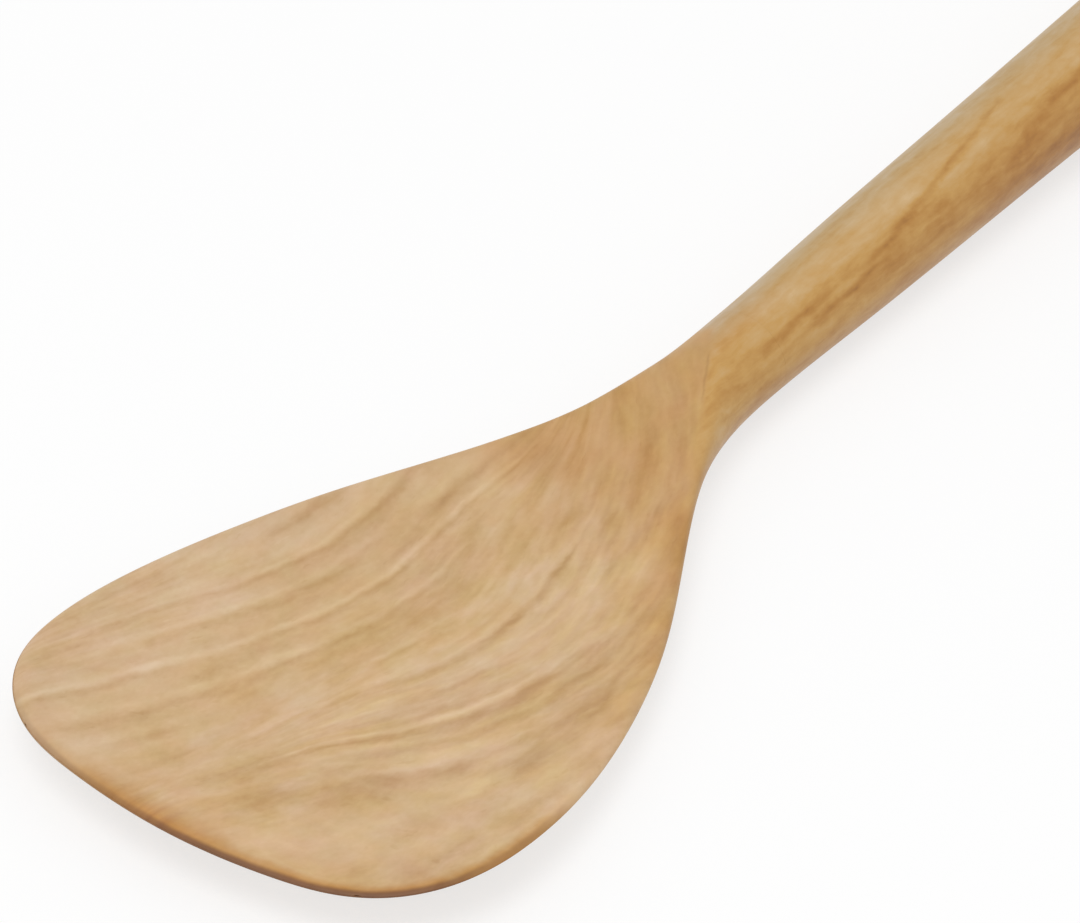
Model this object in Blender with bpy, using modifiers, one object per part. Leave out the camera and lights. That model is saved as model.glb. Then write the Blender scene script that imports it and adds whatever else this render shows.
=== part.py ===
"""Wooden wok spatula: a hollowed blade, a turned handle and the dowel that joins them.

The spatula lies on its back, as it rests on a worktop. +X runs from the blade's front
edge to the handle's butt, +Z is up, and the origin is under the middle of its length.
"""

import math

import bmesh
import bpy
import numpy as np
from mathutils import Matrix, Vector

# Whole spatula, in metres
OVERALL_LENGTH = 0.350
BLADE_WIDTH = 0.096
BLADE_LENGTH = 0.156  # from the front edge to the joint in the neck
NECK_DIAMETER = 0.0166
NECK_LIFT = 0.0005  # how far the neck's underside stays above the worktop

# Blade and scoop
BLADE_THICKNESS = 0.0043  # in the middle of the hollow
SOLE_CUT = 0.0003  # planed off the belly, so that it sits flat
SOLE_END = 0.078  # from the front edge to where the underside starts to lift
HOLLOW_CENTRE = 0.050  # from the front edge to the deepest point
SCOOP_END = 0.142  # from the front edge to where the scoop runs out on top of the neck
NECK_HOLLOW = 0.0004  # how much the scoop is hollow across, where it climbs the neck
FRONT_EDGE_HEIGHT = 0.0083  # of the middle of the front edge
FRONT_EDGE_RISE = 0.0007  # from the middle of the edge up to the scoop
FLANK_EDGE_RISE = 0.0020
FRONT_BEVEL_WIDTH = 0.0030
FRONT_BEVEL_DROP = 0.0006
BEVEL_END = 0.024  # from the front edge to where the bevel has died out along the flanks
FRONT_LEAN = 0.0006  # how far the front edge falls back on its +Y side and stands out on the other
LEAN_PEAK = 0.75  # share of the half width at which it does so most
LEAN_END = 0.025  # from the front edge to where the lean has died out
ARRIS_ROUNDING = 0.0024  # softens the line where the scoop meets the sides
SHOULDER_ROUNDING = 0.0015  # softens the scoop's rim where the blade becomes the neck

# Handle
HANDLE_DIAMETER = 0.0224  # at its thickest
HANDLE_SWELL = 0.176  # from the joint to its thickest place
BUTT_LENGTH = 0.016  # the rounded end

# Dowel and its two sockets
DOWEL_DIAMETER = 0.008
DOWEL_LENGTH = 0.030
DOWEL_CHAMFER = 0.001
DOWEL_FLUTE_DEPTH = 0.0004
DOWEL_CLEARANCE = 0.0003  # all round and at each end
GLUE_LINE = 0.0003  # between the blade and the handle
CUT_OVERRUN = 0.002

# Outline of half the blade, from the front's middle to the neck: shares of the blade's
# length and of half its width. The first and last points come from the sizes above.
OUTLINE_SHARES = (
    (0.012, 0.427),
    (0.0315, 0.663),
    (0.0645, 0.828),
    (0.119, 0.951),
    (0.212, 1.000),
    (0.327, 0.958),
    (0.436, 0.861),
    (0.545, 0.722),
    (0.654, 0.535),
    (0.744, 0.374),
    (0.820, 0.262),
    (0.904, 0.190),
)

# Height of the edge's middle along the blade: shares of its length and of the front's height
EDGE_HEIGHT_SHARES = (
    (0.00, 1.07),
    (0.14, 1.115),
    (0.29, 0.955),
    (0.43, 0.81),
    (0.57, 0.775),
    (0.70, 0.855),
    (0.80, 0.965),
    (0.90, 0.985),
)

# The handle's swelling: shares of the way to its thickest place and of the growth in radius
SWELL_SHARES = (
    (0.00, 0.00),
    (0.14, 0.19),
    (0.40, 0.47),
    (0.70, 0.80),
    (1.00, 1.00),
)

# How full the underside is across: powers of a rounded hull and of a true circle
HULL_POWERS = (2.4, 1.25)
ROUND_POWERS = (2.0, 2.0)
HOLLOW_POWER = 2.2  # the hollow's curve across
CLIMB_POWER = 4.0  # the scoop's curve as it climbs the neck

# How finely the surfaces are divided
OUTLINE_STEPS = 44
QUARTER_STEPS = 10  # from the edge to the middle line, a quarter of the way round
SWELL_STEPS = 12
BUTT_STEPS = 7
FLUTES = 16
TILT_STEPS = 60  # halvings in the search for the handle's slope
STEEPEST_TILT = math.pi / 4
SMOOTHING_ANGLE = math.radians(40)
MERGE_DISTANCE = 0.000005

# Worked out from the sizes above
HALF_WIDTH = BLADE_WIDTH / 2
NECK_RADIUS = NECK_DIAMETER / 2
HANDLE_RADIUS = HANDLE_DIAMETER / 2
JOINT_HEIGHT = NECK_LIFT + NECK_RADIUS
SQUARE_FROM = 2 * HOLLOW_CENTRE  # behind this the sections run straight across
RING_STEPS = 4 * QUARTER_STEPS
FRONT_X = -OVERALL_LENGTH / 2
JOINT_X = FRONT_X + BLADE_LENGTH
SOCKET_RADIUS = DOWEL_DIAMETER / 2 + DOWEL_CLEARANCE
SOCKET_DEPTH = DOWEL_LENGTH / 2 + DOWEL_CLEARANCE

# Finishes
BLADE_COLOUR = (0.578, 0.386, 0.218, 1.0)
BLADE_ROUGHNESS = 0.55
HANDLE_COLOUR = (0.545, 0.337, 0.144, 1.0)
HANDLE_ROUGHNESS = 0.42
DOWEL_COLOUR = (0.610, 0.440, 0.270, 1.0)
DOWEL_ROUGHNESS = 0.60


def smooth_curve(places, values, start_slope=None, end_slope=None):
    """Return the cubic spline through the points, as a function of the place."""
    x = np.array(places, dtype=float)
    y = np.array(values, dtype=float)
    gaps = np.diff(x)
    rises = np.diff(y) / gaps
    count = len(x)
    matrix = np.zeros((count, count))
    target = np.zeros(count)
    for i in range(1, count - 1):
        matrix[i, i - 1] = gaps[i - 1]
        matrix[i, i] = 2 * (gaps[i - 1] + gaps[i])
        matrix[i, i + 1] = gaps[i]
        target[i] = 6 * (rises[i] - rises[i - 1])
    matrix[0, 0] = 1
    matrix[-1, -1] = 1
    if start_slope is not None:
        matrix[0, :2] = (2 * gaps[0], gaps[0])
        target[0] = 6 * (rises[0] - start_slope)
    if end_slope is not None:
        matrix[-1, -2:] = (gaps[-1], 2 * gaps[-1])
        target[-1] = 6 * (end_slope - rises[-1])
    bends = np.linalg.solve(matrix, target)

    def at(place):
        i = int(np.clip(np.searchsorted(x, place) - 1, 0, count - 2))
        after = (x[i + 1] - place) / gaps[i]
        before = (place - x[i]) / gaps[i]
        cubic = (after**3 - after) * bends[i] + (before**3 - before) * bends[i + 1]
        return after * y[i] + before * y[i + 1] + cubic * gaps[i] ** 2 / 6

    return at


def ease(share):
    """Go smoothly from 0 to 1 as the share does."""
    held = min(max(share, 0.0), 1.0)
    return held * held * (3 - 2 * held)


def soft_min(first, second, rounding):
    """Return the lower of two heights, with the corner between them rounded."""
    overlap = max(rounding - abs(first - second), 0.0) / rounding
    return min(first, second) - overlap * overlap * rounding / 4


def soft_max(first, second, rounding):
    return -soft_min(-first, -second, rounding)


def handle_profile():
    """Return (distance from the joint, radius) down the handle, without its butt's pole."""
    growth = HANDLE_RADIUS - NECK_RADIUS
    swelling = smooth_curve(
        [share * HANDLE_SWELL for share, _ in SWELL_SHARES],
        [NECK_RADIUS + share * growth for _, share in SWELL_SHARES],
        start_slope=0,
        end_slope=0,
    )
    butt_start = handle_length() - BUTT_LENGTH
    places = [butt_start * i / SWELL_STEPS for i in range(SWELL_STEPS + 1)]
    profile = [(place, swelling(min(place, HANDLE_SWELL))) for place in places]
    for i in range(1, BUTT_STEPS):
        turn = math.pi / 2 * i / BUTT_STEPS
        profile.append((butt_start + BUTT_LENGTH * math.sin(turn), HANDLE_RADIUS * math.cos(turn)))
    return profile


def handle_length():
    return OVERALL_LENGTH - BLADE_LENGTH


def resting_tilt():
    """Return the slope of the handle's axis that lets its butt touch the worktop."""
    profile = handle_profile()
    low = -STEEPEST_TILT
    high = STEEPEST_TILT
    for _ in range(TILT_STEPS):
        tilt = (low + high) / 2
        lowest = min(
            JOINT_HEIGHT + place * math.sin(tilt) - radius * math.cos(tilt)
            for place, radius in profile
        )
        if lowest < 0:
            low = tilt
        else:
            high = tilt
    return (low + high) / 2


TILT = resting_tilt()


def outline_points():
    """Return points from the front's middle to the joint: distance from the front, half width."""
    knots = [(0.0, 0.0)]
    knots += [(x_share * BLADE_LENGTH, y_share * HALF_WIDTH) for x_share, y_share in OUTLINE_SHARES]
    knots.append((BLADE_LENGTH, NECK_RADIUS))
    steps = [math.dist(a, b) for a, b in zip(knots, knots[1:])]
    travel = np.concatenate([[0.0], np.cumsum(steps)])
    along = smooth_curve(travel, [knot[0] for knot in knots], start_slope=0, end_slope=1)
    across = smooth_curve(travel, [knot[1] for knot in knots], start_slope=1, end_slope=0)
    return [
        (along(travel[-1] * i / OUTLINE_STEPS), across(travel[-1] * i / OUTLINE_STEPS))
        for i in range(OUTLINE_STEPS + 1)
    ]


edge_height = smooth_curve(
    [share * BLADE_LENGTH for share, _ in EDGE_HEIGHT_SHARES] + [BLADE_LENGTH],
    [share * FRONT_EDGE_HEIGHT for _, share in EDGE_HEIGHT_SHARES] + [JOINT_HEIGHT],
    start_slope=0,
    end_slope=math.tan(TILT),
)


def middle_place(place):
    """Return where on the middle line the section from this edge place ends."""
    if place >= SQUARE_FROM:
        return place
    return HOLLOW_CENTRE * (1 + (place / SQUARE_FROM) ** 2)


def floor_height(place):
    """Height of the scoop on the middle line."""
    climb = max(place - HOLLOW_CENTRE, 0.0) / (SCOOP_END - HOLLOW_CENTRE)
    rise = NECK_LIFT + NECK_DIAMETER - BLADE_THICKNESS
    return BLADE_THICKNESS + rise * climb**CLIMB_POWER


def keel_height(place):
    """Height of the underside on the middle line, before the sole is planed."""
    lift = ease((place - SOLE_END) / (BLADE_LENGTH - SOLE_END))
    return -SOLE_CUT + (NECK_LIFT + SOLE_CUT) * lift


def rim_height(place):
    """Height of the scoop at the edge."""
    share = ease(place / SQUARE_FROM)
    edge_rise = FRONT_EDGE_RISE + (FLANK_EDGE_RISE - FRONT_EDGE_RISE) * share
    climbing = floor_height(place) + NECK_HOLLOW
    return soft_max(edge_height(place) + edge_rise, climbing, SHOULDER_ROUNDING)


def upper_height(place, reach):
    """Height of the top, from the middle line (reach 0) to the edge (reach 1)."""
    floor = floor_height(middle_place(place))
    scoop = floor + (rim_height(place) - floor) * reach**HOLLOW_POWER
    bevel_share = FRONT_BEVEL_WIDTH / HOLLOW_CENTRE
    bevel = max(reach - 1 + bevel_share, 0.0) / bevel_share
    scoop -= FRONT_BEVEL_DROP * bevel**2 * (1 - ease(place / BEVEL_END))
    side = edge_height(place) + NECK_RADIUS * math.sqrt(max(1 - reach**2, 0.0))
    return soft_min(scoop, side, ARRIS_ROUNDING)


def lower_height(place, reach):
    """Height of the underside, from the middle line (reach 0) to the edge (reach 1)."""
    roundness = ease((place - SQUARE_FROM) / (SCOOP_END - SQUARE_FROM))
    fullness = HULL_POWERS[0] + (ROUND_POWERS[0] - HULL_POWERS[0]) * roundness
    corner = HULL_POWERS[1] + (ROUND_POWERS[1] - HULL_POWERS[1]) * roundness
    edge = edge_height(place)
    depth = edge - keel_height(middle_place(place))
    return edge - depth * max(1 - reach**fullness, 0.0) ** (1 / corner)


def lean(x, y):
    """Return how far back a point lies, because the front edge isn't quite square."""
    turn = math.pi / 2 * y / (LEAN_PEAK * HALF_WIDTH)
    return FRONT_LEAN * math.sin(turn) * (1 - ease(x / LEAN_END))


def blade_section(place, half_width):
    """Return the closed section from one edge over the top to the other and back below."""
    middle = middle_place(place)
    shear = math.tan(TILT) * ease((place - SQUARE_FROM) / (BLADE_LENGTH - SQUARE_FROM))
    points = []
    for i in range(RING_STEPS):
        side = math.cos(2 * math.pi * i / RING_STEPS)
        reach = abs(side)
        if i % (RING_STEPS // 2) == 0:
            height = edge_height(place)
        elif i < RING_STEPS / 2:
            height = upper_height(place, reach)
        else:
            height = lower_height(place, reach)
        x = middle + (place - middle) * reach
        x -= (height - JOINT_HEIGHT) * shear
        y = side * half_width
        points.append(Vector((FRONT_X + x + lean(x, y), y, height)))
    return points


def make_material(name, colour, roughness):
    material = bpy.data.materials.new(name)
    material.use_nodes = True
    shader = material.node_tree.nodes["Principled BSDF"]
    shader.inputs["Base Color"].default_value = colour
    shader.inputs["Roughness"].default_value = roughness
    shader.inputs["Metallic"].default_value = 0.0
    return material


def add_object(name, bm, collection):
    """Turn a bmesh into an object in the collection."""
    mesh = bpy.data.meshes.new(name)
    bm.to_mesh(mesh)
    bm.free()
    thing = bpy.data.objects.new(name, mesh)
    collection.objects.link(thing)
    return thing


def shade_round(thing):
    thing.data.shade_smooth()
    thing.data.set_sharp_from_angle(angle=SMOOTHING_ANGLE)


def axis_matrix(place):
    """Stand local Z along the handle's axis, with its zero this far behind the joint."""
    turn = Matrix.Rotation(math.pi / 2 - TILT, 4, "Y")
    start = Vector((JOINT_X, 0.0, JOINT_HEIGHT)) + turn @ Vector((0.0, 0.0, place))
    return Matrix.Translation(start) @ turn


def add_cutter(name, bm, collection, matrix):
    cutter = add_object(name, bm, collection)
    cutter.matrix_world = matrix
    cutter.hide_render = True
    cutter.display_type = "WIRE"
    return cutter


def cut(thing, cutter):
    modifier = thing.modifiers.new(cutter.name, "BOOLEAN")
    modifier.operation = "DIFFERENCE"
    modifier.solver = "EXACT"
    modifier.object = cutter


def make_blade(parts, cutters):
    bm = bmesh.new()
    rings = []
    for place, half_width in outline_points():
        rings.append([bm.verts.new(point) for point in blade_section(place, half_width)])
    count = len(rings[0])
    for ring, following in zip(rings, rings[1:]):
        for i in range(count):
            after = (i + 1) % count
            bm.faces.new((ring[i], ring[after], following[after], following[i]))
    bm.faces.new(rings[-1])
    bmesh.ops.remove_doubles(bm, verts=bm.verts, dist=MERGE_DISTANCE)
    bmesh.ops.recalc_face_normals(bm, faces=bm.faces)
    blade = add_object("blade", bm, parts)
    blade.data.materials.append(make_material("blade_wood", BLADE_COLOUR, BLADE_ROUGHNESS))

    plane = bmesh.new()
    bmesh.ops.create_cube(plane, size=1.0)
    size = Matrix.Diagonal((BLADE_LENGTH, BLADE_WIDTH, CUT_OVERRUN, 1.0))
    bmesh.ops.transform(plane, matrix=size, verts=plane.verts)
    middle = Vector((FRONT_X + BLADE_LENGTH / 2, 0.0, -CUT_OVERRUN / 2))
    cut(blade, add_cutter("sole_plane", plane, cutters, Matrix.Translation(middle)))

    drill = bmesh.new()
    depth = SOCKET_DEPTH + CUT_OVERRUN
    bmesh.ops.create_cone(
        drill,
        cap_ends=True,
        segments=RING_STEPS,
        radius1=SOCKET_RADIUS,
        radius2=SOCKET_RADIUS,
        depth=depth,
    )
    centre = axis_matrix(CUT_OVERRUN - depth / 2)
    cut(blade, add_cutter("blade_socket_drill", drill, cutters, centre))
    shade_round(blade)
    return blade


def make_handle(parts):
    """Turn the handle, with its socket bored in the same profile."""
    bm = bmesh.new()
    outer = handle_profile()
    length = handle_length() / math.cos(TILT)
    socket_end = GLUE_LINE + SOCKET_DEPTH
    points = [(0.0, length)]
    points += [(radius, max(place, GLUE_LINE)) for place, radius in reversed(outer)]
    points += [(SOCKET_RADIUS, GLUE_LINE), (SOCKET_RADIUS, socket_end), (0.0, socket_end)]
    corners = [bm.verts.new((radius, 0.0, place)) for radius, place in points]
    for corner, following in zip(corners, corners[1:]):
        bm.edges.new((corner, following))
    handle = add_object("handle", bm, parts)
    handle.matrix_world = axis_matrix(0.0)
    turning = handle.modifiers.new("turning", "SCREW")
    turning.axis = "Z"
    turning.steps = RING_STEPS
    turning.render_steps = RING_STEPS
    turning.use_merge_vertices = True
    turning.merge_threshold = MERGE_DISTANCE
    handle.data.materials.append(make_material("handle_wood", HANDLE_COLOUR, HANDLE_ROUGHNESS))
    shade_round(handle)
    return handle


def make_dowel(parts):
    """Make the fluted pin: a prism with a star-shaped section and chamfered ends."""
    bm = bmesh.new()
    radius = DOWEL_DIAMETER / 2
    bmesh.ops.create_cone(
        bm, cap_ends=True, segments=2 * FLUTES, radius1=radius, radius2=radius, depth=DOWEL_LENGTH
    )
    ends = [face for face in bm.faces if len(face.verts) > 4]
    for end in ends:
        for vert in list(end.verts)[::2]:
            vert.co.xy *= 1 - DOWEL_FLUTE_DEPTH / radius
    rims = list(bm.verts)
    bmesh.ops.inset_region(bm, faces=ends, thickness=DOWEL_CHAMFER, use_even_offset=False)
    for vert in rims:
        vert.co.z -= math.copysign(DOWEL_CHAMFER, vert.co.z)
    dowel = add_object("neck_dowel", bm, parts)
    dowel.matrix_world = axis_matrix(GLUE_LINE / 2)
    dowel.data.materials.append(make_material("dowel_wood", DOWEL_COLOUR, DOWEL_ROUGHNESS))
    return dowel


def new_collection(name):
    collection = bpy.data.collections.new(name)
    bpy.context.scene.collection.children.link(collection)
    return collection


def main():
    for thing in list(bpy.data.objects):
        bpy.data.objects.remove(thing, do_unlink=True)
    parts = new_collection("wooden_spatula")
    cutters = new_collection("wooden_spatula_cutters")
    spatula = bpy.data.objects.new("spatula", None)
    parts.objects.link(spatula)
    for piece in (make_blade(parts, cutters), make_handle(parts), make_dowel(parts)):
        piece.parent = spatula


main()
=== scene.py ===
# Wooden wok spatula on a pale studio floor.
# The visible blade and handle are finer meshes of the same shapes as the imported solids.
import math

import bmesh
import bpy
import numpy as np
from mathutils import Matrix, Vector


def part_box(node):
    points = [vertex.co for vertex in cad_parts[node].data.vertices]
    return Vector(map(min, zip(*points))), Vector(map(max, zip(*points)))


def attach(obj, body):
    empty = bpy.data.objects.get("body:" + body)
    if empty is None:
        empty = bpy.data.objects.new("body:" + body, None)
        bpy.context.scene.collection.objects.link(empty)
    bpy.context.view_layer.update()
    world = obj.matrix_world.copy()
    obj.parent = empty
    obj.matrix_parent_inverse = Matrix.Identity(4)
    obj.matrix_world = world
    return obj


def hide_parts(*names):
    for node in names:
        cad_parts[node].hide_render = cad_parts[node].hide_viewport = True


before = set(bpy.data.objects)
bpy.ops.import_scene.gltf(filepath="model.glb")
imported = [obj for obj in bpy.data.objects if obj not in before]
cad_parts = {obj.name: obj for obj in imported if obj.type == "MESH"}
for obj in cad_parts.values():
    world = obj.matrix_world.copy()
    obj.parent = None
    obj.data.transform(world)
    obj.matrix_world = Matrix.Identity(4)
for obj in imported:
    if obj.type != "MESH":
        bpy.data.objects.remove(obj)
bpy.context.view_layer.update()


# Helpers shared by the pieces

meshing = {
    "weld": 2e-6,
    "creaseAngle": 42,
    "tip": 1e-7,             # the least radius of a ring that closes to a point
    "hair": 1e-9,            # less than this counts as nought
}


def smoothCurve(places, values, startSlope=0.0, endSlope=0.0):
    # clamped cubic spline through a few points, evaluated on whole arrays
    x = np.array(places, float)
    y = np.array(values, float)
    gaps = np.diff(x)
    rises = np.diff(y) / gaps
    count = len(x)
    matrix = np.zeros((count, count))
    target = np.zeros(count)
    matrix[0, :2] = 2 * gaps[0], gaps[0]
    target[0] = 6 * (rises[0] - startSlope)
    matrix[-1, -2:] = gaps[-1], 2 * gaps[-1]
    target[-1] = 6 * (endSlope - rises[-1])
    for i in range(1, count - 1):
        matrix[i, i - 1:i + 2] = gaps[i - 1], 2 * (gaps[i - 1] + gaps[i]), gaps[i]
        target[i] = 6 * (rises[i] - rises[i - 1])
    bends = np.linalg.solve(matrix, target)

    def at(place):
        place = np.asarray(place, float)
        i = np.clip(np.searchsorted(x, place) - 1, 0, count - 2)
        after = (x[i + 1] - place) / gaps[i]
        before = (place - x[i]) / gaps[i]
        cubic = (after ** 3 - after) * bends[i] + (before ** 3 - before) * bends[i + 1]
        return after * y[i] + before * y[i + 1] + cubic * gaps[i] ** 2 / 6

    return at


def ease(share):
    held = np.clip(share, 0, 1)
    return held * held * (3 - 2 * held)


def softMin(first, second, rounding):
    overlap = np.maximum(rounding - np.abs(first - second), 0) / rounding
    return np.minimum(first, second) - overlap * overlap * rounding / 4


def softMax(first, second, rounding):
    return -softMin(-first, -second, rounding)


def ringMesh(name, rings, closeStart, closeEnd, marks):
    # skins a stack of rings into one closed mesh; marks are values kept on its points
    rings = np.asarray(rings, float)
    stations, around, _ = rings.shape
    points = rings.reshape(-1, 3)
    faces = []
    for s in range(stations - 1):
        for i in range(around):
            j = (i + 1) % around
            a, b = s * around, (s + 1) * around
            faces.append((a + i, a + j, b + j, b + i))
    if closeStart:
        faces.append(tuple(range(around - 1, -1, -1)))
    if closeEnd:
        faces.append(tuple(range((stations - 1) * around, stations * around)))
    mesh = bpy.data.meshes.new(name)
    mesh.from_pydata(points.tolist(), [], faces)
    for markName, values in marks.items():
        mark = mesh.attributes.new(markName, "FLOAT", "POINT")
        mark.data.foreach_set("value", np.asarray(values, np.float32).reshape(-1))
    bm = bmesh.new()
    bm.from_mesh(mesh)
    bmesh.ops.remove_doubles(bm, verts=bm.verts, dist=meshing["weld"])
    bmesh.ops.recalc_face_normals(bm, faces=bm.faces)
    bm.to_mesh(mesh)
    bm.free()
    mesh.shade_smooth()
    mesh.set_sharp_from_angle(angle=math.radians(meshing["creaseAngle"]))
    piece = bpy.data.objects.new(name, mesh)
    bpy.context.scene.collection.objects.link(piece)
    return piece


# Sizes that both pieces follow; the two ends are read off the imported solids

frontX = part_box("blade")[0].x
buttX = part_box("handle")[1].x

neckJoint = {
    "place": 0.156,          # from the blade's front edge to the joint
    "diameter": 0.0166,
    "lift": 0.0005,          # under the neck
    "dowelDiameter": 0.008,
    "dowelLength": 0.030,
    "socketTip": 0.0005,     # radius of the flat where the drill's point ends
    "clearance": 0.0003,
    "glueLine": 0.00002,     # as thin as a real glue line
}
jointX = frontX + neckJoint["place"]
neckRadius = neckJoint["diameter"] / 2
jointHeight = neckJoint["lift"] + neckRadius
socketRadius = neckJoint["dowelDiameter"] / 2 + neckJoint["clearance"]
socketDepth = neckJoint["dowelLength"] / 2 + neckJoint["clearance"]


# Handle profile: round, swelling slowly to a domed butt

handleForm = {
    "diameter": 0.0224,
    "swell": 0.176,          # from the joint to the thickest place
    "buttLength": 0.016,
    "swellShares": ((0.0, 0.0), (0.14, 0.19), (0.40, 0.47), (0.70, 0.80), (1.0, 1.0)),
    "steepest": 0.5,         # the search for the resting slope looks between this and its opposite
    "tiltSteps": 50,
    "stations": 240,
    "buttStations": 40,
    "around": 160,
}


def handleProfile():
    radius = handleForm["diameter"] / 2
    growth = radius - neckRadius
    swelling = smoothCurve(
        [share * handleForm["swell"] for share, _ in handleForm["swellShares"]],
        [neckRadius + share * growth for _, share in handleForm["swellShares"]],
    )
    buttStart = (buttX - jointX) - handleForm["buttLength"]
    straight = np.linspace(0, buttStart, handleForm["stations"])
    turns = np.linspace(0, math.pi / 2, handleForm["buttStations"])[1:]
    places = np.concatenate([straight, buttStart + handleForm["buttLength"] * np.sin(turns)])
    radii = swelling(np.minimum(straight, handleForm["swell"]))
    radii = np.concatenate([radii, radius * np.cos(turns)])
    return places, radii


def restingTilt():
    # the slope of the handle's axis that lets its butt touch the floor
    places, radii = handleProfile()
    low, high = -handleForm["steepest"], handleForm["steepest"]
    for _ in range(handleForm["tiltSteps"]):
        tilt = (low + high) / 2
        lowest = np.min(jointHeight + places * math.sin(tilt) - radii * math.cos(tilt))
        if lowest < 0:
            low = tilt
        else:
            high = tilt
    return tilt


tilt = restingTilt()
axisAlong = np.array([math.cos(tilt), 0, math.sin(tilt)])
axisAcross = np.array([0.0, 1.0, 0.0])
axisUp = np.array([-math.sin(tilt), 0, math.cos(tilt)])
jointSpot = np.array([jointX, 0, jointHeight])


def ringOnAxis(place, radius, around):
    turns = 2 * math.pi * np.arange(around) / around
    return (jointSpot + place * axisAlong
            + radius * np.cos(turns)[:, None] * axisAcross
            + radius * np.sin(turns)[:, None] * axisUp)


# Blade: a thin hull with a shallow hollow that climbs the neck and runs out on top of it

bladeForm = {
    "width": 0.096,
    "thickness": 0.0043,       # in the middle of the hollow
    "soleCut": 0.0003,
    "soleEnd": 0.078,
    "hollowCentre": 0.050,
    "scoopEnd": 0.142,
    "neckHollow": 0.0004,
    "frontEdgeHeight": 0.0083,
    "frontEdgeRise": 0.0007,
    "flankEdgeRise": 0.0020,
    "frontBevelWidth": 0.0030,
    "frontBevelDrop": 0.0006,
    "bevelEnd": 0.024,
    # the front edge isn't quite square: it falls back on the far side and stands out on the near one
    "frontLean": 0.0006,
    "leanPeak": 0.75,          # share of the half width at which it does so most
    "leanEnd": 0.025,
    "arrisRounding": 0.0024,
    "shoulderRounding": 0.0015,
    # the scoop's colour gives way to the neck's along a slanting border
    "borderPlace": 0.1452,     # on the middle line
    "borderSlant": 1.73,
    "borderLimit": 0.005,      # how far back it reaches on the far side
    "borderFade": 0.0035,
    "hullPowers": (2.4, 1.25),
    "hollowPower": 2.2,
    "climbPower": 4.0,
    "outlineSteps": 260,
    "quarterSteps": 40,
    "outlineShares": (
        (0.012, 0.427), (0.0315, 0.663), (0.0645, 0.828), (0.119, 0.951),
        (0.212, 1.000), (0.327, 0.958), (0.436, 0.861), (0.545, 0.722),
        (0.654, 0.535), (0.744, 0.374), (0.820, 0.262), (0.904, 0.190),
    ),
    "edgeShares": (
        (0.00, 1.07), (0.14, 1.115), (0.29, 0.955), (0.43, 0.81),
        (0.57, 0.775), (0.70, 0.855), (0.80, 0.965), (0.90, 0.985),
    ),
}


def bladeOutline():
    length = neckJoint["place"]
    knots = [(0.0, 0.0)]
    knots += [(x * length, y * bladeForm["width"] / 2) for x, y in bladeForm["outlineShares"]]
    knots.append((length, neckRadius))
    knots = np.array(knots)
    travel = np.concatenate([[0], np.cumsum(np.hypot(*np.diff(knots, axis=0).T))])
    steps = np.linspace(0, travel[-1], bladeForm["outlineSteps"] + 1)
    along = smoothCurve(travel, knots[:, 0], 0, 1)(steps)
    across = smoothCurve(travel, knots[:, 1], 1, 0)(steps)
    return along, across


def edgeHeight(place):
    shares = bladeForm["edgeShares"]
    length = neckJoint["place"]
    curve = smoothCurve(
        [share * length for share, _ in shares] + [length],
        [share * bladeForm["frontEdgeHeight"] for _, share in shares] + [jointHeight],
        0, math.tan(tilt),
    )
    return curve(place)


def middlePlace(place):
    squareFrom = 2 * bladeForm["hollowCentre"]
    curved = bladeForm["hollowCentre"] * (1 + (place / squareFrom) ** 2)
    return np.where(place >= squareFrom, place, curved)


def floorHeight(place):
    climb = np.maximum(place - bladeForm["hollowCentre"], 0)
    climb = climb / (bladeForm["scoopEnd"] - bladeForm["hollowCentre"])
    rise = neckJoint["lift"] + neckJoint["diameter"] - bladeForm["thickness"]
    return bladeForm["thickness"] + rise * climb ** bladeForm["climbPower"]


def frontLean(x, across):
    # how far back a point lies because of the lean
    leanTurn = math.pi / 2 * across / (bladeForm["leanPeak"] * bladeForm["width"] / 2)
    return bladeForm["frontLean"] * np.sin(leanTurn) * (1 - ease(x / bladeForm["leanEnd"]))


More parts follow.
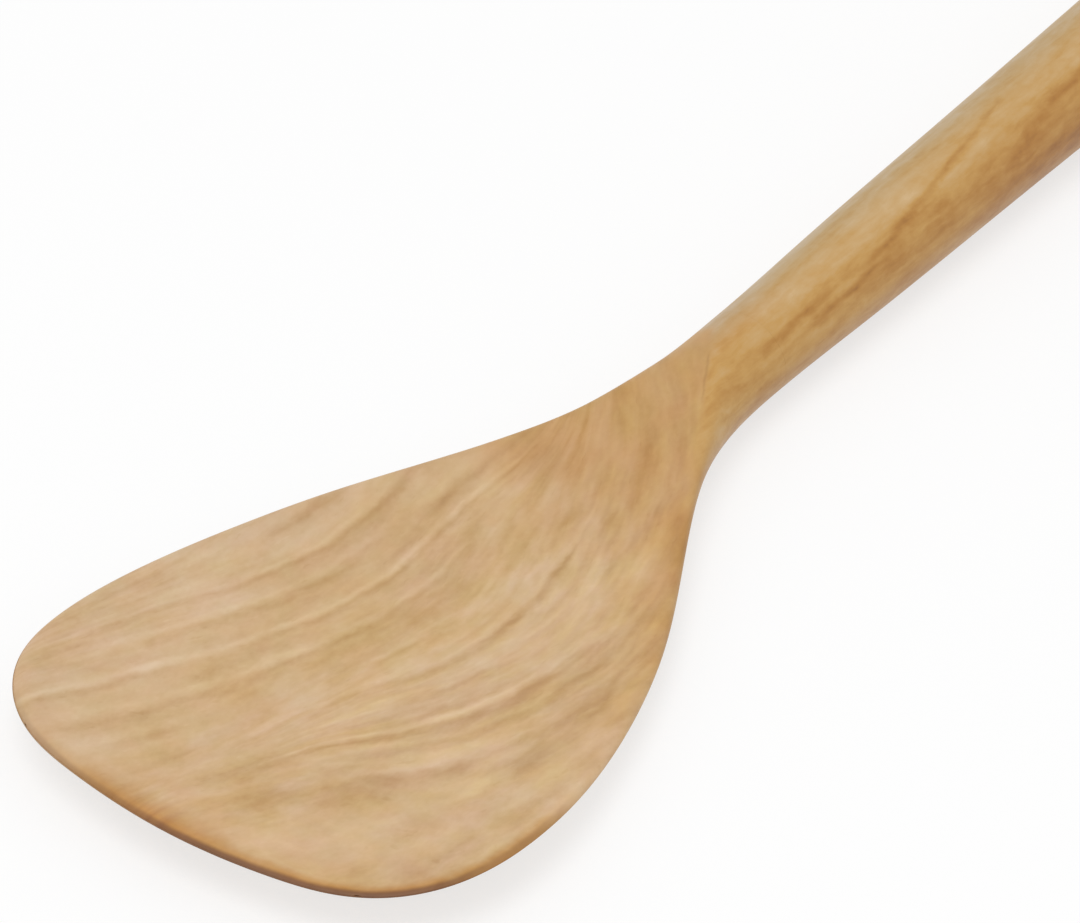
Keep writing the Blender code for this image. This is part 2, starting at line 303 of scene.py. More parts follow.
def bladePoint(place, halfWidth, turn):
    # turn goes round the section: 0 at one edge, a quarter turn on top, half a turn at the other edge
    squareFrom = 2 * bladeForm["hollowCentre"]
    middle = middlePlace(place)
    reach = np.abs(np.cos(turn))
    edge = edgeHeight(place)

    # the hollowed face
    floor = floorHeight(middle)
    share = ease(place / squareFrom)
    edgeRise = bladeForm["frontEdgeRise"] * (1 - share) + bladeForm["flankEdgeRise"] * share
    rim = softMax(edge + edgeRise, floorHeight(place) + bladeForm["neckHollow"],
                  bladeForm["shoulderRounding"])
    scoop = floor + (rim - floor) * reach ** bladeForm["hollowPower"]
    bevelShare = bladeForm["frontBevelWidth"] / bladeForm["hollowCentre"]
    bevel = np.maximum(reach - 1 + bevelShare, 0) / bevelShare
    scoop = scoop - bladeForm["frontBevelDrop"] * bevel ** 2 * (1 - ease(place / bladeForm["bevelEnd"]))
    side = edge + neckRadius * np.sqrt(np.maximum(1 - reach ** 2, 0))
    upper = softMin(scoop, side, bladeForm["arrisRounding"])

    # the underside
    roundness = ease((place - squareFrom) / (bladeForm["scoopEnd"] - squareFrom))
    fullness, corner = (power + (2 - power) * roundness for power in bladeForm["hullPowers"])
    lift = ease((middle - bladeForm["soleEnd"]) / (neckJoint["place"] - bladeForm["soleEnd"]))
    keel = -bladeForm["soleCut"] + (neckJoint["lift"] + bladeForm["soleCut"]) * lift
    lower = edge - (edge - keel) * np.maximum(1 - reach ** fullness, 0) ** (1 / corner)
    lower = np.maximum(lower, 0)

    onEdge = np.abs(np.sin(turn)) < meshing["hair"]
    height = np.where(onEdge, edge, np.where(np.sin(turn) > 0, upper, lower))
    squareness = ease((place - squareFrom) / (neckJoint["place"] - squareFrom))
    x = middle + (place - middle) * reach
    x = x - (height - jointHeight) * math.tan(tilt) * squareness

    # how far this point belongs to the neck's turned outside
    across = np.cos(turn) * halfWidth
    slant = np.minimum(bladeForm["borderSlant"] * across, bladeForm["borderLimit"])
    border = bladeForm["borderPlace"] + slant
    neckShare = ease((place - border) / bladeForm["borderFade"] + 0.5)
    neckShare = neckShare * ease((place - squareFrom) / (bladeForm["scoopEnd"] - squareFrom))
    below = np.where(onEdge, 0.5, np.sin(turn) < 0) + 0 * place
    return frontX + x + frontLean(x, across), across, height, neckShare, below


def rimDistances(rings, places, widths):
    # straight distance from each point to the blade's outline, seen from above
    outline = np.concatenate([
        np.stack([frontX + places + frontLean(places, side), side], 1)[::order]
        for side, order in ((widths, -1), (-widths, 1))
    ])
    spots = rings.reshape(-1, 3)[:, :2]
    nearest = np.full(len(spots), np.inf)
    for start, end in zip(outline[:-1], outline[1:]):
        step = end - start
        length = step @ step
        if length == 0:
            continue
        along = np.clip((spots - start) @ step / length, 0, 1)
        gap = np.hypot(*(spots - start - along[:, None] * step).T)
        nearest = np.minimum(nearest, gap)
    return nearest.reshape(rings.shape[:2])


# How the grain runs over the blade, in mm from the front edge and from the middle line

grainFlow = {
    "straightAt": 82.0,      # a grain line is named by where it crosses this place
    "slope": 0.26,           # there, before the swells
    "slopeGrowth": 0.0035,
    # broad changes of slope: x, y, reach along and across, slope
    "swells": (
        (110, 18, 18, 11, -0.50),
        (36, -14, 17, 15, -0.90),
        (64, -18, 18, 36, -0.44),
        (38, 29, 42, 20, -0.56),
        (134, 4, 16, 14, 0.45),
    ),
    "steps": 60,
}


def grainSlope(x, y):
    slope = grainFlow["slope"] + grainFlow["slopeGrowth"] * (x - grainFlow["straightAt"])
    for centreX, centreY, reachX, reachY, change in grainFlow["swells"]:
        slope = slope + change * np.exp(-((x - centreX) / reachX) ** 2 - ((y - centreY) / reachY) ** 2)
    return slope


def grainPlace(x, y):
    # follows the grain from each point to the naming place and returns where it crosses
    step = (grainFlow["straightAt"] - x) / grainFlow["steps"]
    for _ in range(grainFlow["steps"]):
        halfway = y + step / 2 * grainSlope(x, y)
        y = y + step * grainSlope(x + step / 2, halfway)
        x = x + step
    return y


def makeBlade():
    places, widths = bladeOutline()
    turns = math.pi / 2 * np.arange(4 * bladeForm["quarterSteps"]) / bladeForm["quarterSteps"]
    grid = bladePoint(places[:, None], widths[:, None], turns[None, :])
    x, y, z, neckShare, below = (np.broadcast_to(g, (len(places), len(turns))) for g in grid)
    rings = np.stack([x, y, z], -1)
    rimDistance = rimDistances(rings, places, widths)
    grain = grainPlace((x - frontX) * 1000, y * 1000)
    # the joint's face and the dowel's socket behind it
    socketTip = neckJoint["socketTip"]
    for place, radius in ((0, socketRadius), (-socketDepth, socketRadius), (-socketDepth, socketTip)):
        rings = np.concatenate([rings, ringOnAxis(place, radius, len(turns))[None]])
        neckShare = np.concatenate([neckShare, np.ones((1, len(turns)))])
        rimDistance = np.concatenate([rimDistance, np.full((1, len(turns)), neckRadius)])
        below = np.concatenate([below, np.ones((1, len(turns)))])
        grain = np.concatenate([grain, grain[-1:]])
    marks = {"neckShare": neckShare, "rimDistance": rimDistance * 1000, "below": below, "grain": grain}
    blade = ringMesh("spatula_blade", rings, False, True, marks)
    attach(blade, "root")
    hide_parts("blade")
    return blade


def makeHandle():
    places, radii = handleProfile()
    glue = neckJoint["glueLine"]
    around = handleForm["around"]
    rings = [ringOnAxis(glue + socketDepth, neckJoint["socketTip"], around)]
    rings.append(ringOnAxis(glue + socketDepth, socketRadius, around))
    rings.append(ringOnAxis(glue, socketRadius, around))
    for place, radius in zip(places, radii):
        rings.append(ringOnAxis(max(place, glue) / math.cos(tilt), max(radius, meshing["tip"]), around))
    handle = ringMesh("spatula_handle", rings, True, False, {})
    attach(handle, "root")
    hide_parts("handle")
    return handle


blade = makeBlade()
print("blade shaped:", len(blade.data.vertices), "points")
handle = makeHandle()
print("handle turned:", len(handle.data.vertices), "points")


# Wood: node helpers

class NodeBench:
    # adds nodes to one material or world; most methods give back the new node's output
    def __init__(self, owner):
        owner.use_nodes = True
        self.owner = owner
        self.tree = owner.node_tree
        self.shader = self.tree.nodes.get("Principled BSDF")

    def add(self, kind, **settings):
        node = self.tree.nodes.new(kind)
        for key, value in settings.items():
            setattr(node, key, value)
        return node

    def wire(self, socket, value):
        if isinstance(value, bpy.types.NodeSocket):
            self.tree.links.new(value, socket)
        else:
            socket.default_value = value

    def calc(self, operation, *values, clamp=False):
        node = self.add("ShaderNodeMath", operation=operation, use_clamp=clamp)
        for socket, value in zip(node.inputs, values):
            self.wire(socket, value)
        return node.outputs[0]

    def total(self, *values):
        result = values[0]
        for value in values[1:]:
            result = self.calc("ADD", result, value)
        return result

    def product(self, *values):
        result = values[0]
        for value in values[1:]:
            result = self.calc("MULTIPLY", result, value)
        return result

    def scaled(self, value, scale, start):
        return self.calc("MULTIPLY_ADD", value, scale, start)

    def bell(self, offset):
        # 1 where the offset is nought, falling softly on both sides
        return self.calc("EXPONENT", self.product(offset, offset, -1.0))

    def fade(self, value, low, high, start=0.0, end=1.0):
        # goes softly from start to end as the value goes from low to high
        node = self.add("ShaderNodeMapRange", interpolation_type="SMOOTHSTEP")
        for socket, number in zip(node.inputs, (value, low, high, start, end)):
            self.wire(socket, number)
        return node.outputs[0]

    def inside(self, spots, fades):
        # the product of the fades of some named measures; one that has no limits counts as it is
        return self.product(*(self.fade(spots[name], *limits) if limits else spots[name]
                              for name, *limits in fades))

    def pattern(self, x, y, z, sizes, amount, detail, roughness=0.5):
        # smooth noise around nought, whose grains are as long, wide and high as the sizes say
        place = self.add("ShaderNodeCombineXYZ")
        for socket, value, size in zip(place.inputs, (x, y, z), sizes):
            self.wire(socket, self.product(value, 1 / size))
        node = self.add("ShaderNodeTexNoise", noise_dimensions="3D")
        self.wire(node.inputs["Vector"], place.outputs[0])
        node.inputs["Scale"].default_value = 1.0
        node.inputs["Detail"].default_value = detail
        node.inputs["Roughness"].default_value = roughness
        return self.product(self.calc("SUBTRACT", node.outputs["Fac"], 0.5), 2 * amount)

    def mark(self, name):
        node = self.add("ShaderNodeAttribute", attribute_name=name)
        return node.outputs["Fac"]

    def mix(self, share, first, second, blend="MIX"):
        node = self.add("ShaderNodeMix", data_type="RGBA", blend_type=blend)
        self.wire(node.inputs[0], share)
        self.wire(node.inputs[6], first)
        self.wire(node.inputs[7], second)
        return node.outputs[2]

    def tinted(self, wood, tint):
        return self.mix(1.0, wood, (*tint, 1), "MULTIPLY")

    def tint(self, share, wood, tint):
        return self.mix(share, wood, self.tinted(wood, tint))

    def waver(self, wood, balance, lowTint, highTint):
        share = self.calc("ADD", balance, 0.5, clamp=True)
        return self.mix(share, self.tinted(wood, lowTint), self.tinted(wood, highTint))

    def tintPlaces(self, wood, spots, places):
        for tint, *fades in places:
            wood = self.tint(self.inside(spots, fades), wood, tint)
        return wood

    def ramp(self, share, stops):
        node = self.add("ShaderNodeValToRGB")
        self.wire(node.inputs[0], share)
        elements = node.color_ramp.elements
        while len(elements) < len(stops):
            elements.new(0.5)
        for element, (place, tone) in zip(elements, stops):
            element.position = place
            element.color = colour(tone)
        return node.outputs[0]


def colour(tone):
    # a screen colour, 0 to 255, as the linear colour that nodes want
    shares = [level / 255 for level in tone]
    return (*(share / 12.92 if share <= 0.04045 else ((share + 0.055) / 1.055) ** 2.4
              for share in shares), 1.0)


def placeInMillimetres(bench):
    # x from the blade's front edge, y across, z up, in the spatula's own frame
    coordinates = bench.add("ShaderNodeTexCoord")
    split = bench.add("ShaderNodeSeparateXYZ")
    bench.wire(split.inputs[0], coordinates.outputs["Object"])
    x = bench.scaled(split.outputs[0], 1000.0, -frontX * 1000)
    y = bench.product(split.outputs[1], 1000.0)
    z = bench.product(split.outputs[2], 1000.0)
    return x, y, z


# Wood of the hollowed blade: flat-sawn figure, its lines following the grain

bladeFinish = {
    "tones": ((0.0, (158, 116, 68)), (0.30, (187, 148, 100)), (0.5, (204, 169, 126)),
              (0.70, (216, 185, 146)), (1.0, (234, 210, 178))),
    "roughness": 0.52,
    # each line: grain place at its start and end, from, to, dark width (mm), dark, light
    "lines": (
        (36.8, 36.4, 46, 64, 1.0, 0.08, 0.00),
        (35.0, 33.0, 64, 84, 1.3, 0.13, 0.02),
        (28.8, 27.4, 20, 56, 1.2, 0.09, 0.06),
        (27.4, 25.0, 56, 98, 0.8, 0.10, 0.09),
        (20.8, 20.6, 34, 84, 1.2, 0.11, 0.07),
        (17.0, 18.8, 80, 110, 0.9, 0.13, 0.02),
        (14.3, 13.6, 8, 112, 0.7, 0.13, 0.12),
        (10.0, 7.0, 10, 90, 0.7, 0.09, 0.12),
        (6.2, 5.6, 8, 30, 0.8, 0.08, 0.05),
        (4.4, 2.8, 26, 60, 1.0, 0.04, 0.02),
        (0.6, 0.2, 10, 24, 0.8, 0.05, 0.03),
        (-4.6, -6.8, 28, 60, 1.1, 0.07, 0.06),
        (-9.6, -8.4, 62, 80, 1.1, 0.13, 0.07),
        (-8.6, -10.4, 80, 106, 0.7, 0.13, 0.08),
        (-13.0, -13.2, 84, 104, 0.8, 0.04, 0.03),
        (-21.8, -24.2, 27, 80, 1.2, 0.12, 0.14),
        (-25.3, -26.6, 78, 100, 1.0, 0.11, 0.03),
        (-28.0, -28.6, 50, 86, 1.0, 0.07, 0.03),
        (-30.2, -31.6, 8, 36, 1.2, 0.07, 0.06),
        (-31.6, -34.6, 36, 68, 1.3, 0.13, 0.06),
        (-36.4, -37.2, 20, 44, 1.0, 0.07, 0.08),
    ),
    "lineEnds": (6, 8),        # over how far a line comes and goes, each side of its ends
    "lightWidth": 0.75,
    "lightGap": 0.6,           # from the dark line's width to the middle of the light one
    "lineStrength": 0.9,       # on the whole; the breaks below add to it or take from it
    "faintestLine": 0.1,
    # broad paler or darker places: x, y, reach along and across (mm), tone
    "clouds": (
        (84, -17, 18, 5, 0.10),
        (48, -3, 12, 4, 0.07),
        (82, 11, 12, 8, -0.09),
        (101, 11, 6, 5, 0.07),
        (32, 32, 24, 9, 0.05),
        (55, 36, 13, 8, 0.09),
        (18, -20, 12, 5, 0.02),
        (77, -26, 12, 7, -0.09),
        (36, -36, 12, 6, 0.12),
        (35, -25, 8, 5, 0.08),
        (35, -15, 8, 5, -0.10),
        (21, -5, 8, 6, -0.09),
        (63, -34, 9, 6, -0.10),
        (8, -15, 8, 5, 0.17),
        (22, -40, 20, 5, -0.06),
        (6, -2, 9, 12, -0.02),
        (6, -13, 5, 7, 0.11),
        (9, 24, 5, 6, 0.06),
        (13, -35, 4, 3, 0.10),
        (114, 9, 5, 5, -0.13),
        (106, -1, 5, 4, -0.10),
        (96, 15, 4, 4, -0.09),
        (97, -23, 6, 4, -0.11),
        (95, -15, 5, 3, 0.06),
        (30, -33, 7, 4, 0.07),
        (55, -12, 6, 4, 0.04),
        (27, -10, 6, 4, -0.05),
        (25, -26, 5, 4, 0.07),
        (13, -10, 5, 4, -0.06),
    ),
    # cooler or, below nought, more golden places, given the same way
    "coolPlaces": (
        (55, -12, 9, 6, 0.6),
        (30, -34, 8, 5, 0.5),
        (25, -26, 5, 4, 0.7),
        (13, -10, 5, 4, -0.5),
        (27, -10, 6, 4, -0.4),
    ),
    "cloudWander": 6.0,        # how far the wander below pushes the clouds along
    # patterns: length, width and height (mm), strength, detail, roughness
    "wander": ((38, 18, 18), 0.7, 1),
    "ripple": ((9, 7, 7), 0.8, 1),
    "jag": ((2.4, 2.0, 2.0), 0.42, 2, 0.6),
    "breaks": ((5.5, 2.5, 9), 1.2, 2, 0.6),
    "bands": ((50, 4.4, 14), 0.17, 2, 0.6),
    "patches": ((13, 4.6, 9), 0.26, 2, 0.6),
    "streaks": ((13, 1.5, 4), 0.05, 2, 0.6),
    "pores": ((2.6, 0.75, 1.5), 1.0, 1),
    "hue": ((13, 5, 9), 1.7, 3, 0.55),
    "mottle": ((3.6, 2.6, 2.4), 0.11, 3, 0.6),
    "fine": ((1.3, 1.0, 1.0), 0.055, 1),
    "blush": ((7, 6, 6), 1.8, 2),
    "waves": ((20, 12, 12), 9, 2),               # of the place where the scoop starts to climb
    "ragged": ((4, 5, 4), 1.3, 3),               # inner edge of the rims
    "paleDashes": (0.33, 0.6, 0, 0.05),          # of the pores' pattern: from and to, tone there
    "darkDashes": (-0.33, -0.6, 0, 0.07),
    # how lively the figure is: from and to (mm), strength there
    "lively": (-14, 26, 1.42, 0.80),             # across the blade
    "livelyFront": (30, 10, 1.0, 0.80),          # along it
    "livelyHue": (-14, 26, 1.1, 0.5),
    "calmBack": (45, 75, 1.0, 0.84),             # of the small figure, behind the middle
    # where the grain lines crowd together at the front, the figure runs on a plain slant instead
    "calmPlace": (18, -3, 13, 11, 1.0),
    "calmFade": (0.12, 0.6),
    "calmSlant": 0.35,
    # golden here, paler and pinker there
    "hueTints": ((0.99, 0.985, 0.84), (0.97, 0.96, 1.0)),
    "blushTints": ((1.015, 0.99, 1.0), (0.987, 1.01, 1.0)),
    # tinted places: tint, then what it goes by and where it fades in, from and to (mm)
    "places": (
        # the tip is more golden, the far side a little cooler
        ((1.0, 0.965, 0.90), ("x", 22, 6), ("y", 18, 2)),
        ((0.99, 1.01, 1.10), ("y", 12, 42)),
        # towards the neck the scoop cuts across the fibres and drinks more oil
        ((0.89, 0.775, 0.60), ("waveX", 93, 118)),
        ((0.975, 0.975, 0.90), ("x", 116, 130)),
        # the near rim is warmer behind
        ((0.94, 0.84, 0.62), ("raggedRim", 12, 1.5), ("x", 45, 92), ("y", -2, -12), ("x", 122, 106)),
    ),
    # the sawn ends of the fibres along the front are warmer, further back on the near side
    "rimSlant": 0.5,
    "frontRim": {
        "tint": (0.80, 0.60, 0.30),
        "where": (("rimSlant", 26, 5),),
        "widestAt": 6.0,                         # across the blade
        "width": (26, 10, 3.4, 7.0),             # from and to, away from there, and the width there
        "full": 0.6,
        "ragged": 1.25,
    },
    # the blunt front edge and what is under it is darker: partly the end grain's own colour, partly painted
    # shade on the edge's face and under it
    "edgeRagged": 0.2,
    "edgeSlant": 0.4,
    "edgeGrainAndShade": {
        "tint": (0.40, 0.33, 0.37),
        "seen": (("edgeRim", 1.55, 0.55), ("edgeSlant", 34, 12)),
        "under": (("below", 0.0, 0.9), ("rim", 2.5, 0.3), ("x", 60, 16)),
        "strength": (("y", 15, -8, 0.44, 1.0), ("x", 10, 26, 1.0, 0.42)),
    },
    # how high the lines, the dashes and all of it stand
    "lineRelief": 0.15,
    "dashRelief": 0.5,
    "relief": 0.5,
}


def grainLines(bench, x, across):
    # soft dark lines with a thin light one beside them, that come and go along the blade
    form = bladeFinish
    lightWidth = form["lightWidth"]
    comes, goes = form["lineEnds"]
    tones = []
    for startCentre, endCentre, start, end, width, dark, light in form["lines"]:
        slope = (endCentre - startCentre) / (end - start)
        line = bench.scaled(x, slope, startCentre - start * slope)
        offset = bench.calc("SUBTRACT", across, line)
        darkBell = bench.bell(bench.product(offset, 1 / width))
        lightBell = bench.bell(bench.scaled(offset, 1 / lightWidth, -(width + form["lightGap"]) / lightWidth))
        tone = bench.calc("ADD", bench.product(darkBell, -dark), bench.product(lightBell, light))
        fades = (("x", start - comes, start + comes), ("x", end + goes, end - goes))
        tones.append(bench.product(tone, bench.inside({"x": x}, fades)))
    return bench.total(*tones)


def softClouds(bench, x, y, clouds):
    tones = []
    for centreX, centreY, reachX, reachY, tone in clouds:
        along = bench.scaled(x, 1 / reachX, -centreX / reachX)
        aside = bench.scaled(y, 1 / reachY, -centreY / reachY)
        spread = bench.calc("ADD", bench.product(along, along), bench.product(aside, aside))
        tones.append(bench.product(bench.calc("EXPONENT", bench.product(spread, -1.0)), tone))
    return bench.total(*tones)


def alongGrain(bench, x, across, z):
    # bands, patches and streaks drawn out along the grain, short dashes, and the hue
    form = bladeFinish
    figure = [bench.pattern(x, across, z, *form[name]) for name in ("bands", "patches", "streaks")]
    pores = bench.pattern(x, across, z, *form["pores"])
    pale, dark = (bench.fade(pores, *form[name]) for name in ("paleDashes", "darkDashes"))
    hue = bench.pattern(x, across, z, *form["hue"])
    return bench.total(*figure), bench.calc("SUBTRACT", pale, dark), hue


def bladeFigure(bench, x, y, z):
    form = bladeFinish
    wander, ripple, jag = (bench.pattern(x, y, z, *form[name]) for name in ("wander", "ripple", "jag"))
    across = bench.total(bench.mark("grain"), wander, ripple, jag)
    slant = bench.total(bench.scaled(x, form["calmSlant"], y), wander, ripple, jag)
    calm = bench.fade(softClouds(bench, x, y, (form["calmPlace"],)), *form["calmFade"])

    lines = grainLines(bench, x, across)
    breaks = bench.calc("ADD", bench.pattern(x, across, z, *form["breaks"]), form["lineStrength"])
    lines = bench.product(lines, bench.calc("MAXIMUM", breaks, form["faintestLine"]))
    figure, dashes, hue = (
        bench.scaled(bench.calc("SUBTRACT", plain, crowded), calm, crowded)
        for crowded, plain in zip(alongGrain(bench, x, across, z), alongGrain(bench, x, slant, z))
    )
    figure = bench.product(figure, bench.fade(y, *form["lively"]), bench.fade(x, *form["livelyFront"]))
    calmBack = bench.fade(x, *form["calmBack"])
    mottle = bench.product(bench.pattern(x, y, z, *form["mottle"]), calmBack)
    fine = bench.product(bench.pattern(x, y, z, *form["fine"]), calmBack)
    dashes = bench.product(dashes, calmBack)
    clouds = softClouds(bench, bench.scaled(wander, form["cloudWander"], x), y, form["clouds"])
    tone = bench.total(lines, figure, mottle, fine, dashes, clouds)
    wood = bench.ramp(bench.calc("ADD", tone, 0.5), form["tones"])

    hue = bench.product(hue, bench.fade(y, *form["livelyHue"]))
    hue = bench.calc("ADD", hue, softClouds(bench, x, y, form["coolPlaces"]))
    wood = bench.waver(wood, hue, *form["hueTints"])
    wood = bench.waver(wood, bench.pattern(x, y, z, *form["blush"]), *form["blushTints"])

    rim = bench.mark("rimDistance")
    ragged = bench.pattern(x, y, z, *form["ragged"])
    spots = {
        "x": x,
        "y": y,
        "waveX": bench.total(x, bench.pattern(x, y, z, *form["waves"])),
        "rim": rim,
        "raggedRim": bench.total(rim, ragged),
        "edgeRim": bench.scaled(ragged, form["edgeRagged"], rim),
        "rimSlant": bench.scaled(y, form["rimSlant"], x),
        "edgeSlant": bench.scaled(y, form["edgeSlant"], x),
        "below": bench.mark("below"),
    }
    wood = bench.tintPlaces(wood, spots, form["places"])
    front = form["frontRim"]
    fromWidest = bench.calc("ABSOLUTE", bench.calc("SUBTRACT", y, front["widestAt"]))
    bandWidth = bench.fade(fromWidest, *front["width"])
    inBand = bench.fade(bench.scaled(ragged, front["ragged"], rim), bandWidth, front["full"])
    wood = bench.tint(bench.product(inBand, bench.inside(spots, front["where"])), wood, front["tint"])
    # painted shade with end grain: darkens the face of the front edge and the underside behind it
    edgeGrainShade = form["edgeGrainAndShade"]
    edge = bench.calc("MAXIMUM", bench.inside(spots, edgeGrainShade["seen"]), bench.inside(spots, edgeGrainShade["under"]))
    wood = bench.tint(bench.product(edge, bench.inside(spots, edgeGrainShade["strength"])), wood, edgeGrainShade["tint"])

    relief = bench.total(bench.product(lines, form["lineRelief"]),
                         bench.product(dashes, form["dashRelief"]), mottle)
    return wood, bench.product(relief, form["relief"])


# Wood of the turned handle: golden, with brown streaks that wander along it

handleFinish = {
    "tones": ((0.0, (138, 84, 26)), (0.28, (176, 124, 52)), (0.5, (194, 149, 80)),
              (0.72, (201, 165, 112)), (1.0, (218, 190, 150))),
    "roughness": 0.40,
    # each streak: from (mm from the front, degrees round from the top towards the near side),
    # to the same, width in degrees, strength (dark below zero)
    "streaks": (
        ((146, 44), (170, 44), 7, -0.16),
        ((150, 60), (168, 58), 6, 0.10),
        ((143, 12), (153, 6), 9, -0.14),
        ((166, 61), (186, 56), 5, -0.18),
        ((166, 50), (182, 48), 4, 0.10),
        ((183, 44), (204, 30), 5, -0.18),
        ((202, 28), (232, 4), 4, -0.20),
        ((206, 34), (245, 22), 7, 0.14),
        ((190, 20), (206, 22), 8, 0.12),
        ((224, 60), (240, 57), 7, -0.16),
        ((214, 90), (300, 80), 30, -0.10),
        ((236, 40), (290, 20), 6, -0.16),
        ((250, 70), (300, 62), 6, -0.16),
    ),
    "streakEnds": (5, 7),    # over how far a streak comes and goes, each side of its ends
    "streakFlow": 4.5,       # how far the patterns below push the streaks round
    "streakFlutter": 9.0,
    # patterns: length, width and height (mm), strength, detail, roughness
    "flow": ((17, 7, 7), 2.2, 2, 0.6),
    "drift": ((21, 8, 8), 2.0, 2),
    "flutter": ((3.2, 2.4, 2.4), 0.45, 2),
    "bands": ((45, 4.5, 4.5), 0.30, 2, 0.55),
    "flames": ((8, 2.0, 2.0), 0.22, 3, 0.6),
    "fibres": ((9, 0.6, 0.6), 0.05, 2, 0.6),
    "mottle": ((3, 2.2, 2.2), 0.13, 3, 0.6),
    # tone from the far side to the near one, partly painted light and shade, partly the wood's own tone: from
    # and to (degrees), tone there
    "side": (5, 50, 0.10, -0.08),
    "sideFlow": 8.0,
    # on the butt's dome whatever goes by the angle fades out towards the middle (mm from the axis)
    "dome": (2.5, 7.5),
    # towards the butt the sides grow alike (mm from the front)
    "alike": (335, 250),
    # tinted places: tint, then what it goes by and where it fades in, from and to
    "places": (
        # painted reflection: paler and greyer on the far side, as a sheen of the white surroundings; painted
        # shade with a painted reflection: darker and a little bluer low on the near side
        ((0.84, 0.94, 1.17), ("angle", 20, -30), ("angle", -95, -42), ("uneven",)),
        ((0.91, 0.90, 1.06), ("angle", 80, 100), ("uneven",)),
        # warmer where the neck begins, browner on the near side further back
        ((0.985, 0.935, 0.90), ("x", 172, 152), ("angle", 25, 5)),
        ((0.97, 0.93, 0.86), ("x", 205, 222), ("angle", 25, 40), ("uneven",)),
        # the near flank of the neck is paler
        ((1.03, 1.09, 1.26), ("x", 152, 134), ("angle", 55, 85)),
    ),
    "flameRelief": 0.5,
    "mottleRelief": 0.5,
}


def handleStreaks(bench, x, angle, flow, flutter):
    form = handleFinish
    comes, goes = form["streakEnds"]
    shift = bench.total(bench.product(flow, form["streakFlow"]),
                        bench.product(flutter, form["streakFlutter"]))
    tones = []
    for (startX, startAngle), (endX, endAngle), width, strength in form["streaks"]:
        slope = (endAngle - startAngle) / (endX - startX)
        line = bench.scaled(x, slope, startAngle - startX * slope)
        offset = bench.product(bench.total(bench.calc("SUBTRACT", angle, line), shift), 1 / width)
        fades = (("x", startX - comes, startX + comes), ("x", endX + goes, endX - goes))
        tones.append(bench.product(bench.bell(offset), bench.inside({"x": x}, fades), strength))
    return bench.total(*tones)


def handleFigure(bench, x, y, z):
    form = handleFinish
    startHeight = (jointHeight - (jointX - frontX) * math.tan(tilt)) * 1000
    above = bench.calc("SUBTRACT", z, bench.scaled(x, math.tan(tilt), startHeight))
    # degrees round the handle, from the top towards the near side
    angle = bench.product(bench.calc("ARCTAN2", bench.product(y, -1.0), above), 180 / math.pi)
    fromAxis = bench.calc("SQRT", bench.calc("ADD", bench.product(y, y), bench.product(above, above)))
    outer = bench.fade(fromAxis, *form["dome"])
    flow = bench.pattern(x, y, z, *form["flow"])
    flutter = bench.pattern(x, y, z, *form["flutter"])
    yFlow = bench.total(y, flow, flutter)
    zFlow = bench.total(z, bench.pattern(x, z, y, *form["drift"]), flutter)

    streaks = bench.product(handleStreaks(bench, x, angle, flow, flutter), outer)
    bands = bench.pattern(x, yFlow, zFlow, *form["bands"])
    flames = bench.pattern(x, yFlow, zFlow, *form["flames"])
    fibres = bench.pattern(x, y, z, *form["fibres"])
    mottle = bench.pattern(x, y, z, *form["mottle"])
    # partly painted light and shade: paler on the far side, darker on the near one
    side = bench.fade(bench.scaled(flow, form["sideFlow"], angle), *form["side"])
    tone = bench.scaled(side, outer, bench.total(streaks, bands, flames, fibres, mottle))
    wood = bench.ramp(bench.calc("ADD", tone, 0.5), form["tones"])
    uneven = bench.product(bench.fade(x, *form["alike"]), outer)
    # among these tints is painted light: a sheen on the far side and shade low on the near side
    wood = bench.tintPlaces(wood, {"x": x, "angle": angle, "uneven": uneven}, form["places"])
    relief = bench.total(bench.product(flames, form["flameRelief"]), fibres,
                         bench.product(mottle, form["mottleRelief"]))
    return wood, relief


# How oil and sanding leave every surface

surfaceFinish = {
    "bump": 0.35,
    "bumpHeight": 0.0008,
    "polish": -0.35,         # change of roughness on raised grain
}


def finishWood(bench, wood, relief, roughness):
    bench.wire(bench.shader.inputs["Base Color"], wood)
    bench.wire(bench.shader.inputs["Roughness"], bench.scaled(relief, surfaceFinish["polish"], roughness))
    bump = bench.add("ShaderNodeBump")
    bump.inputs["Strength"].default_value = surfaceFinish["bump"]
    bump.inputs["Distance"].default_value = surfaceFinish["bumpHeight"]
    bench.wire(bump.inputs["Height"], relief)
    bench.wire(bench.shader.inputs["Normal"], bump.outputs[0])
    return bench.owner


# Where the scoop ends, the neck's wood takes over

scoopEndFinish = {
    # painted highlight: a little paler along the near edge of the scoop, as if its rounded arris caught the
    # light
    "edgeHighlightTint": (1.05, 1.08, 1.08),
    "edgeHighlightShare": 0.25,      # of the way over to the neck's wood, and how wide
    "edgeHighlight": (("y", -2, -5), ("x", 122, 130)),
    # a short fine line on top of the neck
    "lineTint": (0.86, 0.83, 0.80),
    "lineWidth": 0.5,
    "lineShake": ((3, 2, 2), 0.7, 2),
    "line": (("y", -6.2, -4.6), ("y", -0.2, -1.6), ("z", 8, 12)),
}


